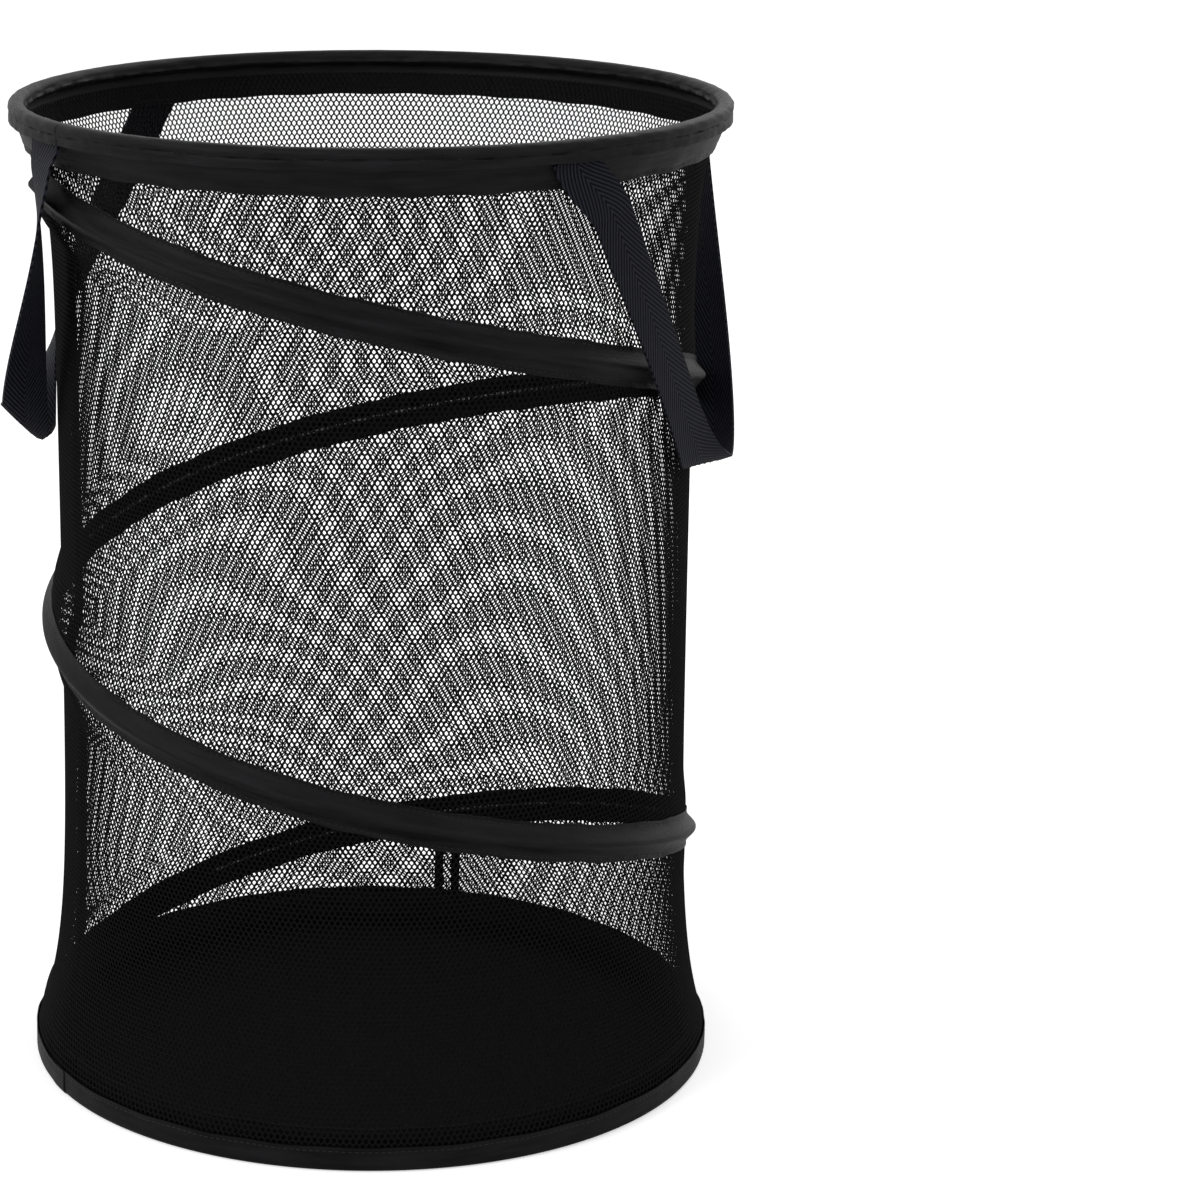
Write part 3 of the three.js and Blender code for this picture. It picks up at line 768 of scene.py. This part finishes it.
def makeSleeve():
    channel = flatCut("spiral_sleeve_tape", sleeveLength, sleeveCut["width"], sleeveCut["alongStep"],
                      sleeveCut["acrossCount"])
    points = pointsOf(channel)
    movePoints(channel, sleevePlace((points[:, 0] / sleeveLength + 0.5) * sleeveTurn, points[:, 1]))
    thicken(channel, tapeThickness, -1)
    return shade(channel)


# The spiral spring and its caps are made here, and not kept as solids
spring = {
    "diameter": 3.2 * mm,
    "out": 2.55 * mm,  # middle of the wire over the net
    "inset": 4 * mm,  # the sleeve goes on past both ends of the wire
    "alongStep": 3 * mm,
    "sides": 12,
    "capRadius": 2.25 * mm,
    "capDeep": 7.4 * mm,  # over the wire's end
    "capNose": 1.9 * mm,  # past it
    "capStep": 0.4 * mm,
}
springLength = sleeveLength * spiral["wireTurn"] / sleeveTurn


def onSpring(distance, turn, radius):  # points of a round section, at distances along the spring
    passed = distance / sleeveLength * sleeveTurn
    height = spiralHeight(passed)
    middle = underSleeve(height) + spring["out"]
    return around(middle + radius * np.cos(turn), spiral["start"] + passed, height + radius * np.sin(turn))


def roundPiece(name, first, last, alongStep, radiusAt):
    girth = fullTurn * spring["capRadius"]
    piece = flatCut(name, last - first, girth, alongStep, spring["sides"])
    points = pointsOf(piece)
    distance = points[:, 0] + (first + last) / 2
    movePoints(piece, onSpring(distance, points[:, 1] / girth * fullTurn, radiusAt(distance)))
    facingOut(piece)
    bpy.ops.object.mode_set(mode="EDIT")
    bpy.ops.mesh.fill_holes(sides=0)
    bpy.ops.mesh.normals_make_consistent(inside=False)
    bpy.ops.object.mode_set(mode="OBJECT")
    return shade(piece)


def makeSpring():
    return roundPiece("spiral_spring", spring["inset"], springLength - spring["inset"], spring["alongStep"],
                      lambda distance: spring["diameter"] / 2 + 0 * distance)


def makeSpringCap(name, wireEnd, outward):
    def radiusAt(distance):
        past = np.clip((distance - wireEnd) * outward / spring["capNose"], 0, 1)
        return spring["capRadius"] * np.sqrt(1 - 0.98 * past ** 2)
    ends = sorted([wireEnd - outward * spring["capDeep"], wireEnd + outward * spring["capNose"]])
    return roundPiece(name, ends[0], ends[1], spring["capStep"], radiusAt)


seamCut = {"width": 9 * mm, "gap": 0.5 * mm, "alongStep": 4 * mm, "acrossCount": 6}


def seamPlace(height, across):
    angle = wall["seamAngle"] + across / wall["waist"]
    crease = 0.3 * mm * np.sin(height * 310) * np.abs(across) / seamCut["width"]
    return around(wallRadius(angle, height) - netCut["depth"] - seamCut["gap"] + crease, angle, height)


def makeSeamTape():
    low = hoops["innerHem"] + 0.3 * mm
    length = hoops["bandTop"] - low
    seam = flatCut("side_seam_binding", length, seamCut["width"], seamCut["alongStep"], seamCut["acrossCount"])
    points = pointsOf(seam)
    movePoints(seam, seamPlace(points[:, 0] + length / 2 + low, points[:, 1]))
    thicken(seam, tapeThickness, 1)
    return shade(seam)


rimRoll = finishPiece(makeRimRoll(), tape, "rim", ["rim_roll"])
rimBand = finishPiece(makeRimBand(), tape, "rim", ["rim_band"])
binding = finishPiece(makeBottomBinding(), tape, "base", ["bottom_binding"])
sleeve = finishPiece(makeSleeve(), tape, "base", ["spiral_sleeve"])
seamTape = finishPiece(makeSeamTape(), tape, "base", ["side_seam_tape"])
wire = finishPiece(makeSpring(), steel, "base", ["spiral_wire"])
springCaps = []
for end, wireEnd, outward in (("top", spring["inset"], -1), ("bottom", springLength - spring["inset"], 1)):
    cap = makeSpringCap(f"spiral_cap_{end}", wireEnd, outward)
    springCaps.append(finishPiece(cap, vinyl, "base", [f"spiral_tip_{end}"]))
print("tapes laid, with the spring in its sleeve")


# Stitches: one small stitch of thread, copied along each sewn row
stitchLook = {"long": 2.5 * mm, "wide": 0.5 * mm, "proud": 0.22 * mm, "pitch": 3.4 * mm, "sides": 6, "rings": 4}


def oneStitch():
    only()
    bpy.ops.mesh.primitive_uv_sphere_add(segments=stitchLook["sides"], ring_count=stitchLook["rings"], radius=0.5)
    stitch = renamed(bpy.context.object, "stitch")
    bpy.ops.object.mode_set(mode="EDIT")
    bpy.ops.mesh.select_all(action="SELECT")
    bpy.ops.transform.rotate(value=math.pi / 2, orient_axis="Y", center_override=(0, 0, 0))
    bpy.ops.transform.resize(value=(stitchLook["long"], stitchLook["wide"], 2 * stitchLook["proud"]))
    bpy.ops.object.mode_set(mode="OBJECT")
    return stitch


stitchForm = oneStitch()
stitchPoints = pointsOf(stitchForm)
stitchFaces = [tuple(face.vertices) for face in stitchForm.data.polygons]
bpy.data.objects.remove(stitchForm)


def stitchRow(name, place, length, body):  # place gives the points of the row at distances along it
    count = max(1, int(length / stitchLook["pitch"]))
    spots = (np.arange(count) + 0.5) * length / count
    middle = place(spots, 0)
    along = unit(place(spots + 0.5 * mm, 0) - place(spots - 0.5 * mm, 0))
    across = unit(place(spots, 0.5 * mm) - middle)
    out = unit(np.cross(along, across))
    outward = np.sign(dot(out, middle * [1, 1, 0]))
    out = out * np.where(outward == 0, 1, outward) * (1 if "inner" not in name else -1)
    points = (middle[:, None] + along[:, None] * stitchPoints[None, :, 0:1]
              + across[:, None] * stitchPoints[None, :, 1:2] + out[:, None] * stitchPoints[None, :, 2:3])
    faces = [tuple(i * len(stitchPoints) + k for k in face) for i in range(count) for face in stitchFaces]
    mesh = bpy.data.meshes.new(name)
    mesh.from_pydata(points.reshape(-1, 3).tolist(), [], faces)
    row = bpy.data.objects.new(name, mesh)
    bpy.context.collection.objects.link(row)
    facingOut(row)
    return finishPiece(shade(row, 60), thread, body)


def unit(vectors):
    return vectors / np.linalg.norm(vectors, axis=1)[:, None]


def dot(a, b):
    return np.sum(a * b, axis=1)[:, None]


def ringRow(name, radius, height, ripple, body, start=0.0, stop=fullTurn):
    def place(distance, across):
        angle = start + distance / radius
        up = height + across + 0 * angle
        dent, rise = ripple(angle, up)
        return np.stack([(radius + dent) * np.cos(angle), (radius + dent) * np.sin(angle), up + rise], axis=1)
    return stitchRow(name, place, (stop - start) * radius, body)


def sleeveRow(name, across):
    def place(distance, more):
        return sleevePlace(distance / sleeveLength * sleeveTurn, across + more + 0 * distance)
    usable = sleeveLength * (spiral["wireTurn"] - 4 * degree) / sleeveTurn
    return stitchRow(name, place, usable, "base")


def seamRow(name, across):
    low = hoops["innerHem"] + 1 * mm
    def place(distance, more):
        spot = seamPlace(low + distance, across + more + 0 * distance)
        inwards = spot * [1, 1, 0] / np.hypot(spot[:, 0], spot[:, 1])[:, None]
        return spot - inwards * tapeThickness
    return stitchRow(name, place, hoops["bandBottom"] - low, "base")


stitchRadius = hoops["rimRadius"] + 0.976 * hoops["rollRadius"]
bandStart = bandTape["join"] + 0.5 * degree
bandStop = bandTape["join"] + fullTurn + bandTape["overlap"] / hoops["bandOuter"] - 0.5 * degree
rimRow = ringRow("rim_stitches", stitchRadius, rimTape["stitchHeight"], rollRipple, "rim")
bandStitchHeight = hoops["bandBottom"] + bandTape["stitchUp"]
bandRow = ringRow("band_stitches", hoops["bandOuter"] - bandLean(bandStitchHeight), bandStitchHeight, bandRipple,
                  "rim", bandStart, bandStop)
hemRows = [
    ringRow("hem_stitches", hoops["baseOuter"], hemTape["stitchHeight"], hemRipple, "base"),
    ringRow("hem_inner_stitches", hoops["baseInner"], hemTape["stitchHeight"] + hemTape["innerStitchUp"], hemRipple,
            "base"),
]
sleeveRows = [
    sleeveRow("sleeve_stitches_high", sleeveCut["flap"]),
    sleeveRow("sleeve_stitches_low", -sleeveCut["flap"]),
]
seamRows = [seamRow("seam_inner_stitches_a", 3 * mm), seamRow("seam_inner_stitches_b", -3 * mm)]
print("stitched")


# Floor: a disc of cloth that lies slightly wavy on the ground
floorCut = {
    "radius": hoops["baseOuter"] - 8.2 * mm,
    "low": 0.9 * mm,
    "edge": 2.2 * mm,  # its edge turns up by this much
    "wave": 0.7 * mm,
    "thickness": 0.5 * mm,
    "rings": 26,
    "sides": 128,
}


def makeFloor():
    radius = floorCut["radius"]
    only()
    bpy.ops.mesh.primitive_circle_add(vertices=floorCut["sides"], radius=radius, fill_type="NGON")
    cloth = renamed(bpy.context.object, "floor_cloth")
    bpy.ops.object.mode_set(mode="EDIT")
    bpy.ops.mesh.select_all(action="SELECT")
    ring = radius / floorCut["rings"]
    for _ in range(floorCut["rings"] - 1):
        bpy.ops.mesh.inset(thickness=ring, use_boundary=True)
    bpy.ops.mesh.poke()
    bpy.ops.object.mode_set(mode="OBJECT")
    points = pointsOf(cloth)
    x, y = points[:, 0], points[:, 1]
    out = np.hypot(x, y) / radius
    wave = np.sin(x * 47 + y * 21) + 0.8 * np.sin(y * 61 - x * 33 + 1) + 0.5 * np.sin(x * 103 + y * 87 + 2)
    pucker = np.sin(np.arctan2(y, x) * 46) * smooth((out - 0.88) / 0.1) * (1 - smooth((out - 0.97) / 0.03))
    height = floorCut["low"] + floorCut["wave"] * (wave + 2.3) / 4 * (1 - smooth((out - 0.8) / 0.2))
    height = height + 0.5 * mm * (pucker + 1) / 2
    height = height + floorCut["edge"] * smooth((out - 0.965) / 0.035)
    movePoints(cloth, np.stack([x, y, height], axis=1))
    thicken(cloth, floorCut["thickness"], -1)
    return shade(cloth)


floorPiece = finishPiece(makeFloor(), floorCloth, "base", ["floor_panel"])
print("floor laid")


# Straps: one length of webbing each side, sewn flat behind the lip, that turns as it hangs
strapCut = {
    "width": 25 * mm,
    "thickness": 1.4 * mm,
    "halfAngle": 40 * degree,  # from the strap's middle to each sewn end, round the rim
    "splay": 4 * degree,  # leans out by this much as it flattens
    "middle": hoops["bandOuter"] + 1.2 * mm,  # middle of the webbing where it is sewn
    "standOff": 2.6 * mm,  # and further out than that below the lip
    "sewn": 19.5 * mm,  # stays by the rim below the lip
    "tuck": 0.012,  # the share of the length that goes on up behind the lip
    "foldRadius": 178 * mm,
    "foldLeft": 0.16,  # of what hangs below the fold's line
    "steps": 170,
    "acrossCount": 10,
    "samples": 400,  # along the strap, for its length
}

hangs = {  # pairs are for the leg at the smaller angle and the leg at the larger one
    "right": {
        "turn": 0,
        "twist": -70 * degree,
        "late": (4, 1.24),  # the higher, the later the leg twists
        "rounding": 0.44,  # of the bottom bend
        "drop": 178 * mm,
        "lowRadius": 184 * mm,
        "belly": -0.3 * mm,
        "shift": 5.2 * degree,
        "skew": 10.6 * degree,
        "curl": (3 * degree, 0),  # the leg sweeps sideways as it leaves the lip
        "fan": (0, 0),  # how far the outer side of the leg spreads at the lip
        "foldHeight": 347 * mm,  # the bottom is folded flat along this line
        "foldSlope": (0, -0.35),  # how the line rises to the inner side and to the outer one
    },
    "left": {
        "turn": 186 * degree,
        "twist": 98 * degree,
        "late": (3, 0.92),
        "rounding": 0.12,
        "drop": 176 * mm,
        "lowRadius": 184.2 * mm,
        "belly": 1.4 * mm,
        "shift": 10 * degree,
        "skew": 16 * degree,
        "curl": (0, 0),
        "fan": (0, 8 * mm),
        "foldHeight": 344 * mm,
        "foldSlope": (1, 1.4),
    },
}


def ofLeg(pair, share):
    return np.where(share < 0, pair[0], pair[1])


def strapPath(hang, share):
    c = hang["rounding"]
    rise = (np.hypot(share, c) - c) / (math.hypot(1, c) - c)
    gone = np.clip(1 - np.abs(share), 0, 1)
    sewn = strapCut["middle"] + strapCut["standOff"] * smooth(gone / 0.08)
    low = (hang["lowRadius"] - strapCut["middle"] - strapCut["standOff"]) * smooth((gone - 0.1) / 0.9)
    radius = sewn + low + hang["belly"] * 4 * gone * (1 - gone)
    bowed = 1 - share ** 2
    angle = strapCut["halfAngle"] * share + hang["shift"] * bowed + hang["skew"] * share * bowed
    angle = angle + ofLeg(hang["curl"], share) * smooth(gone / 0.12) * smooth(np.abs(share) / 0.7)
    return around(radius, hang["turn"] + angle, hoops["lipBottom"] - hang["drop"] * (1 - rise))


def strapLengths(hang, shares):
    line = strapPath(hang, shares)
    return np.concatenate([[0], np.cumsum(np.linalg.norm(np.diff(line, axis=0), axis=1))])


def sewnShare(hang):
    c = hang["rounding"]
    rise = 1 - strapCut["sewn"] / hang["drop"]
    return math.sqrt((rise * (math.hypot(1, c) - c) + c) ** 2 - c * c)


def foldedFlat(points, hang):
    radius = np.hypot(points[:, 0], points[:, 1])
    inner, outer = hang["foldSlope"]
    past = radius - strapCut["foldRadius"]
    line = hang["foldHeight"] + np.where(past > 0, outer, -inner) * past
    folded = line - strapCut["foldLeft"] * (line - points[:, 2])
    points[:, 2] = np.where(points[:, 2] < line, folded, points[:, 2])


def slideMap(piece, along):  # so that the ribs run on from one piece of a strap to the next
    uv = piece.data.uv_layers.active.data
    places = np.empty(len(uv) * 2)
    uv.foreach_get("uv", places)
    places = places.reshape(-1, 2)
    places[:, 0] += along
    uv.foreach_set("uv", places.reshape(-1))


def strapPiece(name, hang, start, end):
    reach = 1 + strapCut["tuck"]
    zero = strapLengths(hang, np.linspace(-reach, start, strapCut["samples"]))[-1]
    shares = np.linspace(start, end, strapCut["samples"])
    lengths = strapLengths(hang, shares)
    length = lengths[-1]
    piece = flatCut(name, length, strapCut["width"], length / (strapCut["steps"] * (end - start) / 2),
                    strapCut["acrossCount"])
    flat = pointsOf(piece)
    share = np.interp(flat[:, 0] + length / 2, lengths, shares)
    step = 1e-3
    middle = strapPath(hang, share)
    along = unit(strapPath(hang, share + step) - strapPath(hang, share - step))
    out = unit(middle * [1, 1, 0])
    out = unit(out - along * dot(out, along))
    side = np.cross(along, out)
    gone = np.clip(1 - np.abs(share), 0, 1)
    twist = (hang["twist"] * gone ** ofLeg(hang["late"], share))[:, None]
    points = middle + (side * np.cos(twist) + out * np.sin(twist)) * flat[:, 1:2]
    spread = ofLeg(hang["fan"], share) * (1 - smooth(gone / 0.2)) * np.maximum(0, flat[:, 1]) / strapCut["width"]
    points = points + side * (spread * 2)[:, None]
    sewnIn = smooth((np.abs(share) - 0.93) / 0.06)[:, None]
    flatOn = np.hypot(points[:, 0], points[:, 1])[:, None]
    target = strapCut["middle"] + strapCut["standOff"] * smooth(gone[:, None] / 0.08)
    points[:, :2] += points[:, :2] / flatOn * (target - flatOn) * sewnIn
    foldedFlat(points, hang)
    movePoints(piece, points)
    slideMap(piece, length / 2 + zero)
    thicken(piece, strapCut["thickness"], 0)
    return shade(piece), length


def makeStrap(side):
    hang = hangs[side]
    cut = sewnShare(hang)
    reach = 1 + strapCut["tuck"]
    body = f"strap_{side}"
    loop, length = strapPiece(f"strap_{side}_loop", hang, -cut, cut)
    finishPiece(loop, webbing, body, [f"handle_{side}"])
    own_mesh(loop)
    for end, start, stop in (("a", -reach, -cut), ("b", cut, reach)):
        root, length = strapPiece(f"strap_{side}_root_{end}", hang, start, stop)
        root.data.materials.clear()
        root.data.materials.append(webbing)
        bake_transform(root)
        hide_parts(f"handle_{side}_end_{end}")


makeStrap("right")
makeStrap("left")
print("straps sewn on")


# Stow loop: a narrow ribbon bent over into a loop, standing behind the bottom edge
loopCut = {
    "angle": 93.75 * degree,
    "width": 15.4 * mm,
    "ribbon": 5.2 * mm,
    "height": 50 * mm,
    "thickness": 1 * mm,
    "lean": 4 * degree,
    "foot": 11.4 * mm,
    "footThickness": 1.1 * mm,
    "steps": 10,
}
hemFlat = hoops["baseOuter"] * math.cos(3.75 * degree)  # the solid's hem is flat between columns 7.5 degrees apart


def besideHem(radius, across, height):
    cos, sin = math.cos(loopCut["angle"]), math.sin(loopCut["angle"])
    return np.stack([radius * cos - across * sin, radius * sin + across * cos, height], axis=1)


def makeLoop():
    half = loopCut["width"] / 2
    start = 1 * mm
    only()
    bpy.ops.mesh.primitive_plane_add(size=1)
    loop = renamed(bpy.context.object, "stow_loop_ribbon")
    bpy.ops.object.mode_set(mode="EDIT")
    bpy.ops.mesh.select_all(action="SELECT")
    bpy.ops.transform.resize(value=(loopCut["ribbon"], start, 1))
    bpy.ops.transform.translate(value=(loopCut["ribbon"] / 2 - half, start / 2, 0))
    bpy.ops.mesh.select_all(action="DESELECT")
    bpy.ops.object.mode_set(mode="OBJECT")
    for edge in loop.data.edges:
        ends = [loop.data.vertices[i].co.y for i in edge.vertices]
        edge.select = min(ends) > 0.9 * start
    bpy.ops.object.mode_set(mode="EDIT")
    bpy.ops.mesh.select_mode(type="EDGE")
    rise = (loopCut["height"] - half - start) / loopCut["steps"]
    for _ in range(loopCut["steps"]):
        bpy.ops.mesh.extrude_region_move(TRANSFORM_OT_translate={"value": (0, rise, 0)})
    bpy.ops.mesh.spin(steps=14, angle=-math.pi, center=(0, loopCut["height"] - half, 0), axis=(0, 0, 1))
    fall = (loopCut["height"] - half) / (loopCut["steps"] + 1)
    for _ in range(loopCut["steps"] + 1):
        bpy.ops.mesh.extrude_region_move(TRANSFORM_OT_translate={"value": (0, -fall, 0)})
    bpy.ops.object.mode_set(mode="OBJECT")
    points = pointsOf(loop)
    radius = hemFlat + 0.3 * mm + points[:, 1] * math.sin(loopCut["lean"])
    height = loopCut["foot"] + points[:, 1] * math.cos(loopCut["lean"])
    movePoints(loop, besideHem(radius, points[:, 0], height))
    facingOut(loop)
    thicken(loop, loopCut["thickness"], 1)
    return shade(loop)


finishPiece(makeLoop(), ribbon, "loop", ["stow_loop"])


def makeTab():
    low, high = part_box("stow_loop_tab")
    width = high[0] - low[0]
    tall = high[2] - low[2]
    thick = loopCut["footThickness"]
    tab = flatCut("stow_loop_foot", width, tall, 1 * mm, 10)
    points = pointsOf(tab)
    sewn = np.exp(-((np.abs(points[:, 1]) - 0.3 * tall) / (0.7 * mm)) ** 2)
    rim = smooth((np.abs(points[:, 0]) / width - 0.42) / 0.08) + smooth((np.abs(points[:, 1]) / tall - 0.4) / 0.1)
    radius = hemFlat + thick + 0.25 * mm * (1 - sewn) - 0.35 * mm * rim
    movePoints(tab, besideHem(radius, points[:, 0], points[:, 1] + (low[2] + high[2]) / 2))
    thicken(tab, thick, -1)
    return shade(tab)


finishPiece(makeTab(), ribbon, "base", ["stow_loop_tab"])
print("stow loop made")


# What collapses with the net gets a mesh of its own
for piece in [*netPanels, netOverlap, sleeve, seamTape, wire, *springCaps, *sleeveRows, *seamRows]:
    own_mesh(piece)


print("pieces made")


# Studio: pale floor, white surroundings and soft lamps
studio = {
    "floor": "#f4f4f4",
    "glow": 0.5,  # added to the floor where the camera sees it
    "surround": 0.55,
    "lamps": {  # place, what it points at, size and power
        "key_lamp": ((-1.6, -2.2, 2.4), (0, 0, 0.3), 1.6, 38),
        "fill_lamp": ((2.4, -1.6, 1.4), (0, 0, 0.25), 1.8, 9),
        "back_lamp": ((0.6, 2.4, 2.2), (0, 0, 0.3), 1.6, 16),
    },
}


def softLamp(name, spot, target, size, power):
    only()
    bpy.ops.object.light_add(type="AREA", location=spot)
    lamp = renamed(bpy.context.object, name)
    lamp.rotation_euler = (Vector(target) - Vector(spot)).to_track_quat("-Z", "Y").to_euler()
    lamp.data.shape = "DISK"
    lamp.data.size = size
    lamp.data.energy = power


def makeStudio():
    only()
    bpy.ops.mesh.primitive_plane_add(size=12)
    ground = renamed(bpy.context.object, "studio_floor")
    material, tree, shader = newMaterial("studio floor, white card")
    shader.inputs["Base Color"].default_value = linear(studio["floor"])
    setShader(shader, Roughness=0.9, Specular_IOR_Level=0.1)
    path = addNode(tree, "LightPath")
    glow = addNode(tree, "Emission", {"Color": (1, 1, 1, 1), "Strength": studio["glow"]})
    whiter = addNode(tree, "AddShader", {0: shader.outputs[0], 1: glow.outputs[0]})
    seen = addNode(tree, "MixShader", {0: path.outputs["Is Camera Ray"], 1: shader.outputs[0], 2: whiter.outputs[0]})
    tree.links.new(seen.outputs[0], tree.nodes["Material Output"].inputs["Surface"])
    ground.data.materials.append(material)
    world = bpy.data.worlds.new("studio")
    world.use_nodes = True
    bpy.context.scene.world = world
    tree = world.node_tree
    path = addNode(tree, "LightPath")
    seen = addNode(tree, "Math", {0: path.outputs["Is Camera Ray"], 1: path.outputs["Is Glossy Ray"]},
                   operation="MAXIMUM")
    seen = addNode(tree, "Math", {0: seen.outputs[0], 1: path.outputs["Is Transmission Ray"]},
                   operation="MAXIMUM")
    level = addNode(tree, "MapRange", {"Value": seen.outputs[0], "To Min": studio["surround"], "To Max": 1.0})
    background = tree.nodes["Background"]
    background.inputs["Color"].default_value = (1, 1, 1, 1)
    tree.links.new(level.outputs[0], background.inputs["Strength"])
    for name, (spot, target, size, power) in studio["lamps"].items():
        softLamp(name, spot, target, size, power)
    bpy.context.scene.view_settings.view_transform = "Standard"


makeStudio()
print("studio lit")
